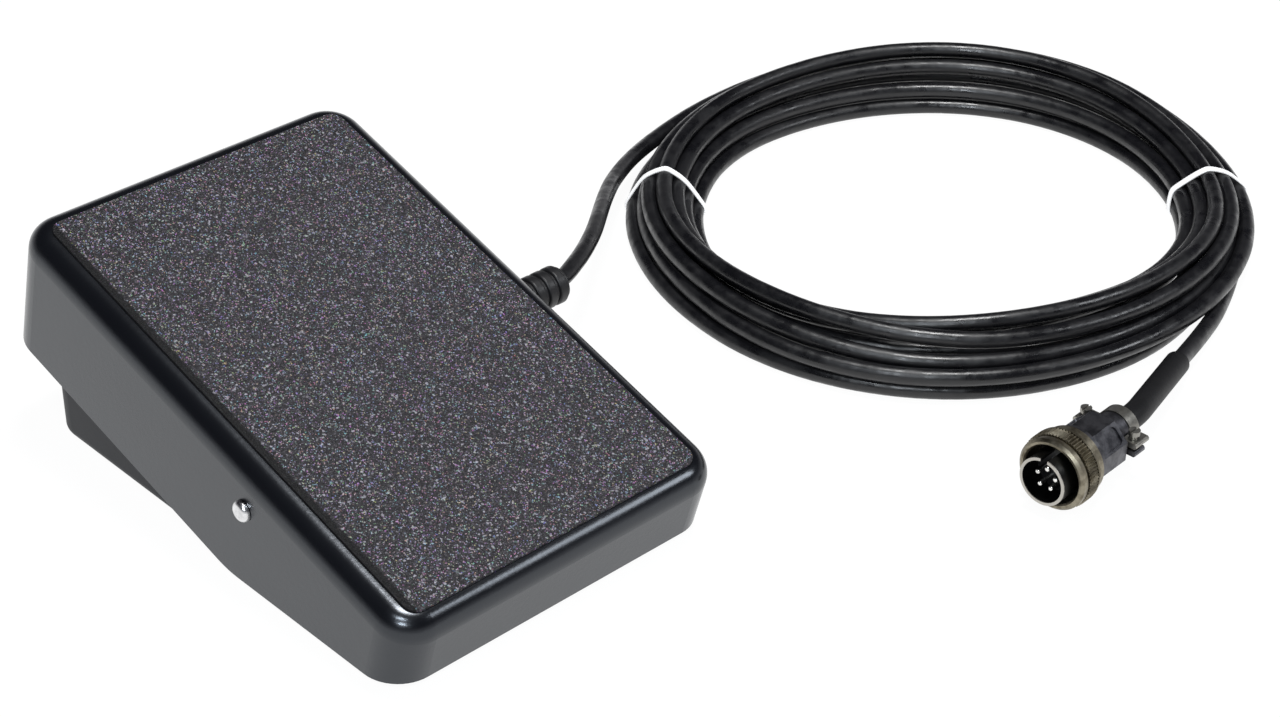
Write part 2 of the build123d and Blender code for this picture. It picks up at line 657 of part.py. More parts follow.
with BuildPart() as gland_locknut:
    with BuildSketch(gland_axis.offset(wall_x - base_sheet - 4)):
        RegularPolygon(10.0, 6, major_radius=False)
        Circle(7.6, mode=Mode.SUBTRACT)
    extrude(amount=4)
pieces["gland_locknut"] = gland_locknut

# ------------------------------------------------------------------ cord


def arc_radii(route):
    """Largest tangent arc that fits at each corner of a route."""
    radii = []
    for a, b, c in zip(route, route[1:], route[2:]):
        before, after = Vector(*b) - Vector(*a), Vector(*c) - Vector(*b)
        half_turn = radians(before.get_angle(after)) / 2
        radii.append(0.45 * min(before.length, after.length) / tan(half_turn))
    return radii


floor_cord = cord_r + 0.05
plug_front = Vector(161.3, -177.7, nut_d / 2)
plug_rear = Vector(cos(radians(plug_heading)), sin(radians(plug_heading)), 0)
plug_length = 43.0
cord_end = plug_front + plug_rear * plug_length
tail_turn = cord_end + plug_rear * 9.5

lead_route = [(mouth_start, gland_y, gland_z), (mouth_start + 5.4, gland_y, gland_z), (98.3, 5.5, 35.45),
              (103.6, 7.3, 35.2), (111, 11.2, 34.7), (119.8, 16.3, 33.7), (129.5, 23, 32.2),
              (140.2, 31.3, 30.1), (152.7, 42.3, 27.2), (167.6, 55.3, 23.3), (185, 69.5, 18.3),
              (209.6, 84.8, 13.2), (236, 94.6, 10.6)]
sleeve_end = (258.0, -159.1, 8.6)
tail_route = [tuple(cord_end), tuple(tail_turn), sleeve_end, (281, -151.6, 5.2),
              (306, -143.2, floor_cord)]

for name, route in (("cord_lead", lead_route), ("cord_tail", tail_route)):
    radii = arc_radii(route)
    print(name, "radii", [round(r, 1) for r in radii])
    start = Vector(*route[1]) - Vector(*route[0])
    with BuildPart() as cord_tube:
        with BuildLine():
            path = FilletPolyline(*route, radius=radii)
        with BuildSketch(Plane(origin=route[0], z_dir=start)):
            Circle(cord_r)
        sweep()
    print(name, "length", round(path.length, 1), "volume ratio",
          round(cord_tube.part.volume / (pi * cord_r ** 2 * path.length), 4))
    pieces[name] = cord_tube

coil_axis = Axis((coil_centre[0], coil_centre[1], 0), (0, 0, 1))
tie_angles, tie_thick, tie_sweep = (131.0, -35.0), 0.8, 1.6
coil_mid_z = coil_height / 2 + tie_thick
with BuildPart() as cord_coil:
    with BuildSketch(Plane.XZ.offset(-coil_centre[1])):
        with Locations((coil_centre[0] + coil_turn_r, coil_mid_z)):
            RectangleRounded(coil_width, coil_height, 8)
    revolve(axis=coil_axis)
pieces["cord_coil"] = cord_coil

with BuildPart() as coil_ties:
    for angle in tie_angles:
        turned = Plane(origin=(coil_centre[0], coil_centre[1], 0),
                       x_dir=(cos(radians(angle)), sin(radians(angle)), 0),
                       z_dir=(sin(radians(angle)), -cos(radians(angle)), 0))
        with BuildSketch(turned):
            with Locations((coil_turn_r, coil_mid_z)):
                RectangleRounded(coil_width + 2 * tie_thick, coil_height + 2 * tie_thick, 8 + tie_thick)
                RectangleRounded(coil_width, coil_height, 8, mode=Mode.SUBTRACT)
        revolve(axis=coil_axis, revolution_arc=tie_sweep)
pieces["coil_ties"] = coil_ties

# moulded sleeve over the cord behind the plug
sleeve_r = 4.7
sleeve_start = cord_end + plug_rear * 0.2
with BuildPart() as plug_cord_sleeve:
    with BuildLine():
        FilletPolyline(tuple(sleeve_start), tuple(tail_turn), sleeve_end,
                       radius=arc_radii(tail_route)[0])
    with BuildSketch(Plane(origin=tuple(sleeve_start), z_dir=tuple(plug_rear))):
        Circle(sleeve_r)
        Circle(cord_r + 0.06, mode=Mode.SUBTRACT)
    sweep()
pieces["plug_cord_sleeve"] = plug_cord_sleeve

# cord's end and the wires inside the base
inner_end_x = 44.0
with BuildPart() as cord_inner_end:
    with BuildSketch(gland_axis.offset(inner_end_x)):
        Circle(cord_r)
    extrude(amount=mouth_start - inner_end_x)
pieces["cord_inner_end"] = cord_inner_end

wire_r = 0.75
pot_blade_end = pinion_y - pot_r - 7.5
pot_blade_x = pot_back_x + 7.4
switch_blade_end = switch_end_y - 7.0
wires = {"pot_wires": [], "switch_wires": []}
for i, z in enumerate(terminal_z):
    off = (1 - i) * 2.6
    start = (gland_y + 1.4, gland_z + off)
    riser_y = 36 - 2.5 * i
    wires["pot_wires"].append([(inner_end_x, *start), (37, *start), (27 + off, 17 + off, 20),
                               (18 + off, 28 + off, 9), (pot_blade_x, riser_y, 9),
                               (pot_blade_x, riser_y, z), (pot_blade_x, pot_blade_end, z)])
for i, z in enumerate(switch_blade_z):
    off = (i - 0.5) * 3.0
    start = (gland_y - 1.8, gland_z + off)
    wires["switch_wires"].append([(inner_end_x, *start), (36, *start), (20 - off, -2 + off, 13),
                                  (4 - off, -16 + off, 10), (-8 - off, -30 + off, 10),
                                  (-17 - off, -42 + off, z - 2), (switch_x, switch_blade_end - 6, z),
                                  (switch_x, switch_blade_end, z)])
for name, routes in wires.items():
    with BuildPart() as wire_set:
        for route in routes:
            with BuildLine():
                FilletPolyline(*route, radius=[min(5, r) for r in arc_radii(route)])
            with BuildSketch(Plane(origin=route[0], z_dir=Vector(*route[1]) - Vector(*route[0]))):
                Circle(wire_r)
            sweep()
    pieces[name] = wire_set

# ------------------------------------------------------------------ plug
plug_side = Vector(-plug_rear.Y, plug_rear.X, 0)
plug_section = Plane(origin=tuple(plug_front), x_dir=tuple(plug_rear), z_dir=tuple(plug_side * -1))
plug_face = Plane(origin=tuple(plug_front), x_dir=tuple(plug_side), z_dir=tuple(plug_rear))
plug_axis = Axis(tuple(plug_front), tuple(plug_rear))
barrel_front, barrel_r, barrel_bore = -5.3, 9.2, 8.1
nut_length, nut_bore = 14.0, 11.2
nut_r, collar_r = nut_d / 2, 12.9
knurls = 72


with BuildPart() as plug_shell:
    with BuildSketch(plug_section):
        Polygon((barrel_front, barrel_bore), (barrel_front, barrel_r), (9.5, barrel_r),
                (9.5, 11.7), (12, 11.7), (12, 10.6), (16, 10.6), (16, 8.6),
                (6, 8.6), (6, barrel_bore), align=None)
    revolve(axis=plug_axis)
    with BuildSketch(plug_face.offset(barrel_front - 1)):
        with Locations((0, barrel_r)):
            Rectangle(2.8, 2.6)
    extrude(amount=9, mode=Mode.SUBTRACT)
pieces["plug_shell"] = plug_shell

with BuildPart() as plug_coupling_nut:
    with BuildSketch(plug_section):
        Polygon((0, nut_bore + 0.6), (0.6, nut_bore), (9.2, nut_bore), (9.2, 12.0),
                (12.3, 12.0), (12.3, 11.0), (nut_length, 11.0), (nut_length, collar_r - 0.6),
                (nut_length - 0.6, collar_r), (10.6, collar_r), (10.4, nut_r - 0.7), (9.9, nut_r - 0.7),
                (9.7, nut_r - 1.3), (9.5, nut_r - 1.3), (9.3, nut_r - 0.2), (8.8, nut_r - 0.2),
                (8.5, nut_r - 1.6), (3.2, nut_r - 1.6), (2.8, nut_r - 0.6), (0.9, nut_r - 0.6),
                (0, nut_r - 1.6), align=None)
    revolve(axis=plug_axis)
    with BuildSketch(plug_face.offset(3.6)):
        with BuildLine():
            Polyline(*[((nut_r if k % 2 else nut_r - 0.6) * cos(pi * k / knurls),
                        (nut_r if k % 2 else nut_r - 0.75) * sin(pi * k / knurls))
                       for k in range(2 * knurls)], close=True)
        make_face()
        Circle(12.6, mode=Mode.SUBTRACT)
    extrude(amount=4.8)
pieces["plug_coupling_nut"] = plug_coupling_nut

insert_front, pin_circle_r, pin_r, pin_count = 4.2, 3.9, 1.0, 5
pin_angles = [90 + 72 * k for k in range(pin_count)]
pin_places = [(pin_circle_r * cos(radians(a)), pin_circle_r * sin(radians(a))) for a in pin_angles]

with BuildPart() as plug_insert:
    with BuildSketch(plug_face.offset(insert_front)):
        Circle(barrel_bore)
    extrude(amount=1.8)
    with BuildSketch(plug_face.offset(insert_front + 1.8)):
        Circle(8.6)
    extrude(amount=10)
    with BuildSketch(plug_face.offset(insert_front - 1)):
        with Locations(*pin_places):
            Circle(pin_r)
    extrude(amount=20, mode=Mode.SUBTRACT)
pieces["plug_insert"] = plug_insert

with BuildPart() as plug_pins:
    with BuildSketch(plug_face.offset(insert_front - 7.2)):
        with Locations(*pin_places):
            Circle(pin_r)
    extrude(amount=19)
    fillet(plug_pins.edges().group_by(Axis((0, 0, 0), tuple(plug_rear)))[0], 0.6)
pieces["plug_pins"] = plug_pins

shell_half_w, shell_half_h, shell_facet = 11.0, 10.0, 6.3
shell_start, shell_end = 16.0, 30.0
window_length, window_width, window_depth = 11.0, 6.8, 0.8
with BuildPart() as plug_backshell:
    with BuildSketch(plug_face.offset(nut_length + gap)):
        Circle(11.8)
    extrude(amount=shell_start - nut_length - gap)
    with BuildSketch(plug_face.offset(shell_start)):
        Rectangle(2 * shell_half_w, 2 * shell_half_h)
        chamfer(vertices(), shell_facet)
    extrude(amount=shell_end - shell_start)
    for hand in (-1, 1):
        outward = plug_side * hand + Vector(0, 0, 1)
        facet_middle = (plug_front + plug_rear * (shell_start + shell_end) / 2
                        + plug_side * hand * (shell_half_w - shell_facet / 2)
                        + Vector(0, 0, shell_half_h - shell_facet / 2))
        with BuildSketch(Plane(origin=tuple(facet_middle - outward.normalized() * window_depth),
                               x_dir=tuple(plug_rear), z_dir=tuple(outward))):
            RectangleRounded(window_length, window_width, 1.6)
        extrude(amount=3, mode=Mode.SUBTRACT)
    with BuildSketch(plug_face):
        Circle(7.0)
    extrude(amount=shell_end, mode=Mode.SUBTRACT)
    with BuildSketch(plug_face):
        Circle(10.6)
    extrude(amount=shell_start, mode=Mode.SUBTRACT)
pieces["plug_backshell"] = plug_backshell

# Cable clamp: a base with a collar and a spigot in the shell, a strap over it, two screws in ears.
clamp_start, strap_start = shell_end + 0.2, 38.0
ear_start, ear_thick, ear_half = 32.0, 2.2, 13.4
screw_off, screw_r, screw_at = 10.2, 1.3, 35.0
collar_reach, clamp_split = 7.2, 0.5
screw_plane = Plane(origin=tuple(plug_front + plug_rear * screw_at), x_dir=tuple(plug_side), z_dir=(0, 0, 1))
screw_places = ((-screw_off, 0), (screw_off, 0))

with BuildPart() as plug_clamp_base:
    with BuildSketch(plug_face.offset(clamp_start - 3)):
        Circle(6.9)
    extrude(amount=3)
    with BuildSketch(plug_face.offset(clamp_start)):
        Circle(collar_reach)
    extrude(amount=strap_start - 0.2 - clamp_start)
    with BuildSketch(plug_face.offset(clamp_start)):
        with Locations((0, -clamp_split - 4.0)):
            Rectangle(2 * collar_reach, 8)
            chamfer(vertices().group_by(Axis.Y)[0], 3)
    extrude(amount=plug_length - clamp_start)
    with BuildSketch(plug_face.offset(ear_start)):
        with Locations((0, -clamp_split - ear_thick / 2)):
            Rectangle(2 * ear_half, ear_thick)
            chamfer(vertices(), 0.6)
    extrude(amount=2 * (screw_at - ear_start))
    with BuildSketch(plug_face.offset(clamp_start - 3)):
        Circle(cord_r)
    extrude(amount=plug_length, mode=Mode.SUBTRACT)
    with BuildSketch(screw_plane.offset(-10)):
        with Locations(*screw_places):
            Circle(screw_r)
    extrude(amount=20, mode=Mode.SUBTRACT)
pieces["plug_clamp_base"] = plug_clamp_base

with BuildPart() as plug_clamp_saddle:
    with BuildSketch(plug_face.offset(strap_start)):
        Circle(7.6)
        with Locations((0, clamp_split - 10)):
            Rectangle(20, 20, mode=Mode.SUBTRACT)
    extrude(amount=plug_length - strap_start)
    with BuildSketch(plug_face.offset(ear_start)):
        with Locations((0, clamp_split + ear_thick / 2)):
            Rectangle(2 * ear_half, ear_thick)
            chamfer(vertices(), 0.6)
        Rectangle(2 * collar_reach + 0.2, 20, mode=Mode.SUBTRACT)
    extrude(amount=strap_start + 2 - ear_start)
    with BuildSketch(plug_face.offset(strap_start)):
        with Locations((0, clamp_split + ear_thick / 2)):
            Rectangle(2 * collar_reach + 1, ear_thick)
    extrude(amount=2)
    with BuildSketch(plug_face):
        Circle(cord_r)
    extrude(amount=plug_length, mode=Mode.SUBTRACT)
    with BuildSketch(screw_plane.offset(-10)):
        with Locations(*screw_places):
            Circle(screw_r)
    extrude(amount=20, mode=Mode.SUBTRACT)
pieces["plug_clamp_saddle"] = plug_clamp_saddle

head_under = clamp_split + ear_thick + 1.8             # the screws stand proud of the strap
with BuildPart() as plug_clamp_screws:
    with BuildSketch(screw_plane.offset(-clamp_split - ear_thick - 1)):
        with Locations(*screw_places):
            Circle(screw_r)
    extrude(amount=head_under + clamp_split + ear_thick + 1)
    with BuildSketch(screw_plane.offset(head_under)):
        with Locations(*screw_places):
            Circle(2.1)
    extrude(amount=1.8)
    with BuildSketch(screw_plane.offset(head_under + 1.0)):
        with Locations(*screw_places):
            Rectangle(0.7, 5.6)
    extrude(amount=2, mode=Mode.SUBTRACT)
pieces["plug_clamp_screws"] = plug_clamp_screws

with BuildPart() as plug_cord_end:
    with BuildSketch(plug_face.offset(20)):
        Circle(cord_r)
    extrude(amount=plug_length - 20)
pieces["plug_cord_end"] = plug_cord_end

# ------------------------------------------------------------------ write every piece
os.makedirs("parts", exist_ok=True)
for label, piece in pieces.items():
    piece.part.label = label
    export_step(piece.part, f"parts/{label}.step")

print("pivot", round(pivot_y, 3), round(pivot_z, 3), "pinion", round(pinion_y, 3), round(pinion_z, 3))
print("teeth ratio", -sector_teeth_full / pinion_teeth, "pieces", len(pieces))
print("switch button", switch_x, round(switch_y, 3), "plug front", plug_front, "cord end", cord_end)
print("coil reach", round(hypot(*coil_centre) + coil_turn_r, 1), "heel_y", round(heel_y, 3))
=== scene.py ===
"""Looks of the foot control pedal: materials on its CAD parts, its cord, ties, lights and camera."""
import json
from math import cos, pi, radians, sin, tau

import bmesh
import bpy
import numpy as np
from mathutils import Matrix, Vector


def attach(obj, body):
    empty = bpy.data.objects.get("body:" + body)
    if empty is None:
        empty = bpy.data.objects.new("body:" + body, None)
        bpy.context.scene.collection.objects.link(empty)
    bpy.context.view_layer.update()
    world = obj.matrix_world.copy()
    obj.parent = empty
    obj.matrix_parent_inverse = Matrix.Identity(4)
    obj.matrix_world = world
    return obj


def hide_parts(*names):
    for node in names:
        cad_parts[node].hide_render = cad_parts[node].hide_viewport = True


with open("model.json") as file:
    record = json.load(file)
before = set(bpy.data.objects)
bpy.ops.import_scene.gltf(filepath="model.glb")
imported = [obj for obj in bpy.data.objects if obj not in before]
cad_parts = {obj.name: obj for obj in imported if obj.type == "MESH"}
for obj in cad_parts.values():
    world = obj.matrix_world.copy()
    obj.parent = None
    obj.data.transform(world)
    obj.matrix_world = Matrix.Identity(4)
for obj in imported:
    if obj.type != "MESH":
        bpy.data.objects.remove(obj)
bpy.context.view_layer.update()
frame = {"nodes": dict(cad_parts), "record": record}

nodes = frame["nodes"]
scene = bpy.context.scene

# ------------------------------------------------------------------ camera
CAMERA_AZIMUTH, CAMERA_ELEVATION, CAMERA_ROLL = radians(-43.7), radians(33.3), radians(0.73)
CAMERA_PLACE = Vector((-0.46396, -0.62667, 0.55724))
LENS_MM = 76.0


def add_camera():
    """The camera of the photo's view, placed by its heading, its height angle and a slight roll."""
    back = Vector((sin(CAMERA_AZIMUTH) * cos(CAMERA_ELEVATION), -cos(CAMERA_AZIMUTH) * cos(CAMERA_ELEVATION),
                   sin(CAMERA_ELEVATION)))
    level = Vector((cos(CAMERA_AZIMUTH), sin(CAMERA_AZIMUTH), 0))
    upward = back.cross(level)
    right = level * cos(CAMERA_ROLL) + upward * sin(CAMERA_ROLL)
    up = back.cross(right)
    data = bpy.data.cameras.new("camera")
    data.lens = LENS_MM
    data.sensor_width = 36.0
    data.clip_end = 20.0
    camera = bpy.data.objects.new("camera", data)
    camera.matrix_world = Matrix.Translation(CAMERA_PLACE) @ Matrix((right, up, back)).transposed().to_4x4()
    scene.collection.objects.link(camera)
    scene.camera = camera


add_camera()

# ------------------------------------------------------------------ cord
CORD_D = 0.0066
COIL_X, COIL_Y = 0.277, -0.0257
COIL_R = 0.1115
# The cord's centre from the gland to the coil, then from the coil to the plug.
LEAD = [(0.0874, 0.0046, 0.0355), (0.0928, 0.0046, 0.0355), (0.0983, 0.0055, 0.03545),
        (0.1036, 0.0073, 0.0352), (0.111, 0.0112, 0.0347), (0.1198, 0.0163, 0.0337),
        (0.1295, 0.023, 0.0322), (0.1402, 0.0313, 0.0301), (0.1527, 0.0423, 0.0272),
        (0.1676, 0.0553, 0.0233), (0.185, 0.0695, 0.0183), (0.2096, 0.0848, 0.0132),
        (0.236, 0.0946, 0.0106)]
TAIL = [(0.306, -0.1432, 0.00335), (0.281, -0.1516, 0.0052), (0.258, -0.1591, 0.0086),
        (0.21367, -0.17404, 0.0143), (0.204195, -0.1747, 0.0143)]

WHOLE_TURNS = 10
PER_TURN = 24                              # points
STEP = tau / PER_TURN
FIRST_ANGLE = radians(96)                  # where the lead joins the coil, which runs clockwise from here
LAST_ANGLE = radians(-60)                  # where the tail leaves it
COIL_POINTS = WHOLE_TURNS * PER_TURN + round((FIRST_ANGLE - LAST_ANGLE) / STEP) + 1
LEFT_TIE, RIGHT_TIE = radians(131), radians(-35)
# Each turn's place in the bundle: strands outwards from its middle, and layers up from the floor.
SLOTS = [(1.65, 1), (1, 1.15), (0.75, 2), (0, 2.7), (-0.7, 1.9), (-1.25, 1), (-1.5, 0), (-0.5, 0),
         (0, 1), (0.5, 0), (1.5, 0)]
# A strand moves to its next place within a turn. The last one starts at SHIFT_START, each one before
# it SHIFT_DELAY later, and a move takes SHIFT_LENGTH. All are parts of a turn.
SHIFT_START, SHIFT_DELAY, SHIFT_LENGTH = 0.40, 0.03, 0.16
LOWEST_LAYER = 0.515                       # diameters from the floor to the lowest strands' centre
WANDER_SEED, WANDER_SMOOTHING = 7, 12      # rounds of smoothing
WANDER_OUT, WANDER_UP = 0.0022, 0.0012
LEAST_GAP = 1.01 * CORD_D                  # between the centres of two strands
# Strands that are closer than that are pushed apart in rounds: a share of the overlap each time.
PUSH_ROUNDS, PUSH_SHARE, PUSH_SMOOTHING = 70, 0.25, 0.08


def smooth_step(x):
    """0 up to x = 0, 1 from x = 1, and a smooth rise between."""
    x = min(max(x, 0.0), 1.0)
    return x * x * (3 - 2 * x)


def near_angle(angle, centre, width):
    """1 at the centre, falling to 0 at width away from it."""
    off = abs((angle - centre + pi) % tau - pi)
    return smooth_step(1 - off / width)


def looseness(angle):
    """How loose the turns lie in front and at the back, from 0 at a tie to 1, and how near a tie is."""
    front = near_angle(angle, radians(-130), radians(75))
    back = near_angle(angle, radians(38), radians(72))
    tied = max(near_angle(angle, LEFT_TIE, radians(35)), near_angle(angle, RIGHT_TIE, radians(40)))
    return front * (1 - tied), back * (1 - tied), tied


def spacing(angle):
    """Diameters from one strand to the next outwards, and from one layer to the next upwards."""
    front, back, tied = looseness(angle)
    right = near_angle(angle, radians(-55), radians(40))
    outwards = 1.08 + 0.03 * tied - 0.08 * right + 0.62 * front + 0.6 * back
    upwards = 0.85 - 0.2 * tied + 0.22 * front + 0.22 * back
    return outwards, upwards


def middle_radius(angle):
    """Radius of the bundle's middle, which is out of round where the photo's coil is."""
    out_back = near_angle(angle, radians(24), radians(62))
    in_front = near_angle(angle, radians(-102), radians(75))
    return COIL_R + 0.0075 * out_back - 0.0095 * in_front


def slot_at(turn_count):
    """Place in the bundle after so many turns, moving from one slot to the next."""
    last = len(SLOTS) - 1
    turn = min(int(turn_count), last)
    start = SHIFT_START + (last - 1 - turn) * SHIFT_DELAY
    moved = smooth_step((turn_count - turn - start) / SHIFT_LENGTH)
    return tuple(a + (b - a) * moved for a, b in zip(SLOTS[turn], SLOTS[min(turn + 1, last)]))


def coil_strands():
    """Radius and height of every point of the coil's turns, pushed apart where they would overlap."""
    rng = np.random.default_rng(WANDER_SEED)
    angles = FIRST_ANGLE - STEP * np.arange(COIL_POINTS)
    wander = rng.normal(0, 1, (COIL_POINTS, 2))
    for _ in range(WANDER_SMOOTHING):
        wander[1:-1] = (wander[:-2] + 2 * wander[1:-1] + wander[2:]) / 4
    place = np.zeros((COIL_POINTS, 2))
    for i, angle in enumerate(angles):
        strand, layer = slot_at(i / PER_TURN)
        outwards, upwards = spacing(angle)
        place[i] = (middle_radius(angle) + CORD_D * strand * outwards,
                    CORD_D * (LOWEST_LAYER + layer * upwards))
    place += wander * (WANDER_OUT, WANDER_UP)
    moved = np.zeros_like(place)
    for _ in range(PUSH_ROUNDS):
        now = place + moved
        push = np.zeros_like(place)
        for turns in range(1, WHOLE_TURNS + 1):
            ahead = turns * PER_TURN
            apart = now[ahead:] - now[:-ahead]
            far = np.maximum(np.linalg.norm(apart, axis=1), 1e-6)
            move = apart * (np.clip(LEAST_GAP / far - 1, 0, None) * PUSH_SHARE)[:, None]
            push[ahead:] += move
            push[:-ahead] -= move
        moved += push
        moved[1:-1] += PUSH_SMOOTHING * (moved[:-2] + moved[2:] - 2 * moved[1:-1])
        moved[:, 1] = np.maximum(moved[:, 1], CORD_D / 2 - place[:, 1])
    return angles, place + moved


def add_cord():
    """The whole cord as one curve, and its coil's points for the ties to go round."""
    angles, place = coil_strands()
    swell = 1 / (0.75 + 0.25 * cos(STEP))      # a spline passes inside its control points
    coil = []
    for angle, (radius, height) in zip(angles, place):
        coil.append((COIL_X + radius * swell * cos(angle), COIL_Y + radius * swell * sin(angle), height))
    route = LEAD + coil + TAIL
    curve = bpy.data.curves.new("cord", "CURVE")
    curve.dimensions = "3D"
    curve.bevel_depth = CORD_D / 2
    curve.bevel_resolution = 5
    curve.resolution_u = 6
    spline = curve.splines.new("NURBS")
    spline.points.add(len(route) - 1)
    for point, where in zip(spline.points, route):
        point.co = (*where, 1)
    spline.order_u = 3
    spline.use_endpoint_u = True
    cord = bpy.data.objects.new("cord", curve)
    scene.collection.objects.link(cord)
    return cord, place


cord, coil_place = add_cord()

# ------------------------------------------------------------------ ties
TIE_THICK, TIE_WIDE = 0.0009, 0.0030
TIE_SLACK = 0.0001                         # from the band to the strands, and to the floor
# The band's section: parts of its thickness outwards, and of its width along the coil.
TIE_SECTION = [(0, -0.5), (0, 0.5), (0.7, 0.5), (1, 0.25), (1, -0.25), (0.7, -0.5)]
BAND_POINTS, STRAND_POINTS = 72, 40        # round the band, and round each strand in it
BAND_SMOOTHING = 10


def hull(points):
    """Convex outline of points, anticlockwise."""
    points = sorted(set(points))

    def half(run):
        """One side of the outline: the points of run that it never turns clockwise at."""
        out = []
        for p in run:
            while len(out) > 1 and ((out[-1][0] - out[-2][0]) * (p[1] - out[-2][1])
                                    - (out[-1][1] - out[-2][1]) * (p[0] - out[-2][0])) <= 0:
                out.pop()
            out.append(p)
        return out[:-1]

    return half(points) + half(points[::-1])


def rounded(outline):
    """The outline with evenly spaced points, bulging a little over its flats as a stiff band does."""
    loop = np.array(outline + outline[:1])
    run = np.concatenate([[0], np.cumsum(np.hypot(*np.diff(loop, axis=0).T))])
    even = np.linspace(0, run[-1], BAND_POINTS, endpoint=False)
    points = np.stack([np.interp(even, run, loop[:, k]) for k in (0, 1)], axis=1)
    centre = points.mean(axis=0)
    reach = np.hypot(*(points - centre).T)
    soft = reach.copy()
    for _ in range(BAND_SMOOTHING):
        soft = np.maximum((np.roll(soft, 1) + 2 * soft + np.roll(soft, -1)) / 4, reach)
    points = centre + (points - centre) * (soft / reach)[:, None]
    return [tuple(p) for p in points]


def link_mesh(name, build):
    """A new object, shaded smooth, from a bmesh."""
    mesh = bpy.data.meshes.new(name)
    build.to_mesh(mesh)
    build.free()
    made = bpy.data.objects.new(name, mesh)
    scene.collection.objects.link(made)
    for polygon in mesh.polygons:
        polygon.use_smooth = True
    return made


def strands_at(angle):
    """Radius and height of every strand that the coil has at an angle."""
    strands = []
    for turn in range(WHOLE_TURNS + 1):
        exact = (FIRST_ANGLE - angle) / STEP + turn * PER_TURN
        i = int(exact)
        if exact >= 0 and i + 1 < len(coil_place):
            strands.append(coil_place[i] + (coil_place[i + 1] - coil_place[i]) * (exact - i))
    return strands


def add_tie(name, angle):
    """A band drawn tight round every strand of the bundle at an angle."""
    reach = CORD_D / 2 + TIE_SLACK
    around = [(round(r + reach * cos(t), 6), round(z + reach * sin(t), 6))
              for r, z in strands_at(angle) for t in np.linspace(0, tau, STRAND_POINTS, endpoint=False)]
    inner = rounded(hull(around))
    middle = Vector((sum(p[0] for p in inner) / len(inner), sum(p[1] for p in inner) / len(inner)))
    out = Vector((cos(angle), sin(angle), 0))
    along = Vector((-sin(angle), cos(angle), 0))
    build = bmesh.new()
    rings = []
    for r, z in inner:
        away = (Vector((r, z)) - middle).normalized()
        ring = []
        for thick, wide in TIE_SECTION:
            radius, height = r + away.x * thick * TIE_THICK, z + away.y * thick * TIE_THICK
            where = Vector((COIL_X, COIL_Y, 0)) + out * radius + along * (wide * TIE_WIDE)
            ring.append(build.verts.new((where.x, where.y, max(height, TIE_SLACK))))
        rings.append(ring)
    for ring, after in zip(rings, rings[1:] + rings[:1]):
        for j in range(len(ring)):
            build.faces.new((ring[j - 1], after[j - 1], after[j], ring[j]))
    bmesh.ops.recalc_face_normals(build, faces=build.faces)
    return link_mesh(name, build)


ties = [add_tie("coil_tie_left", LEFT_TIE), add_tie("coil_tie_right", RIGHT_TIE)]


# ------------------------------------------------------------------ materials
class Finish:
    """A Principled material, with the noise, colour and bump nodes that feed it."""

    def __init__(self, name, color, roughness, metallic=0.0, specular=0.5, **extra):
        """Extra values are named by their sockets, with _ for each space."""
        self.material = bpy.data.materials.new(name)
        self.material.use_nodes = True
        self.tree = self.material.node_tree
        self.shader = self.tree.nodes["Principled BSDF"]
        self.shader.inputs["Base Color"].default_value = (*color, 1)
        self.shader.inputs["Roughness"].default_value = roughness
        self.shader.inputs["Metallic"].default_value = metallic
        self.shader.inputs["Specular IOR Level"].default_value = specular
        for socket, value in extra.items():
            self.shader.inputs[socket.replace("_", " ")].default_value = value
        self.place = self.tree.nodes.new("ShaderNodeTexCoord").outputs["Object"]

    def add(self, kind, inputs=None, **settings):
        """A new node, with its inputs set or linked."""
        node = self.tree.nodes.new(kind)
        for key, value in settings.items():
            setattr(node, key, value)
        for key, value in (inputs or {}).items():
            if isinstance(value, bpy.types.NodeSocket):
                self.tree.links.new(value, node.inputs[key])
            else:
                node.inputs[key].default_value = value
        return node

    def stretched(self, scale):
        """The object's coordinates, scaled apart along X, Y and Z."""
        return self.add("ShaderNodeMapping", {"Vector": self.place, "Scale": scale}).outputs["Vector"]

    def noise(self, scale, detail=3.0, roughness=0.55, place=None):
        return self.add("ShaderNodeTexNoise", {"Vector": place or self.place, "Scale": scale,
                                               "Detail": detail, "Roughness": roughness}).outputs["Fac"]

    def cells(self, scale, output="Color"):
        return self.add("ShaderNodeTexVoronoi", {"Vector": self.place, "Scale": scale}).outputs[output]

    def ramp(self, factor, stops):
        """A colour ramp through stops of (position, colour or grey)."""
        node = self.add("ShaderNodeValToRGB", {"Fac": factor})
        elements = node.color_ramp.elements
        while len(elements) < len(stops):
            elements.new(0.5)
        for element, (position, value) in zip(elements, stops):
            element.position = position
            element.color = (*value, 1) if isinstance(value, tuple) else (value, value, value, 1)
        return node.outputs["Color"]

    def span(self, factor, low, high, start=0.0, end=1.0):
        """From low to high while factor goes from start to end."""
        return self.add("ShaderNodeMapRange", {"Value": factor, "From Min": start, "From Max": end,
                                               "To Min": low, "To Max": high}).outputs["Result"]

    def math(self, operation, a, b):
        return self.add("ShaderNodeMath", {0: a, 1: b}, operation=operation).outputs[0]

    def mix(self, factor, a, b, blend="MIX"):
        """Colour a, changed towards b by factor. The colour sockets of this node go by number."""
        a, b = ((*value, 1) if isinstance(value, tuple) else value for value in (a, b))
        return self.add("ShaderNodeMix", {0: factor, 6: a, 7: b}, data_type="RGBA",
                        blend_type=blend).outputs[2]

    def feed(self, socket, value):
        self.tree.links.new(value, self.shader.inputs[socket])

    def bump(self, height, depth):
        """Raises the surface by depth metres where height is 1, over any earlier bump."""
        before = self.shader.inputs["Normal"].links
        inputs = {"Height": height, "Distance": depth}
        if before:
            inputs["Normal"] = before[0].from_socket
        self.feed("Normal", self.add("ShaderNodeBump", inputs).outputs["Normal"])


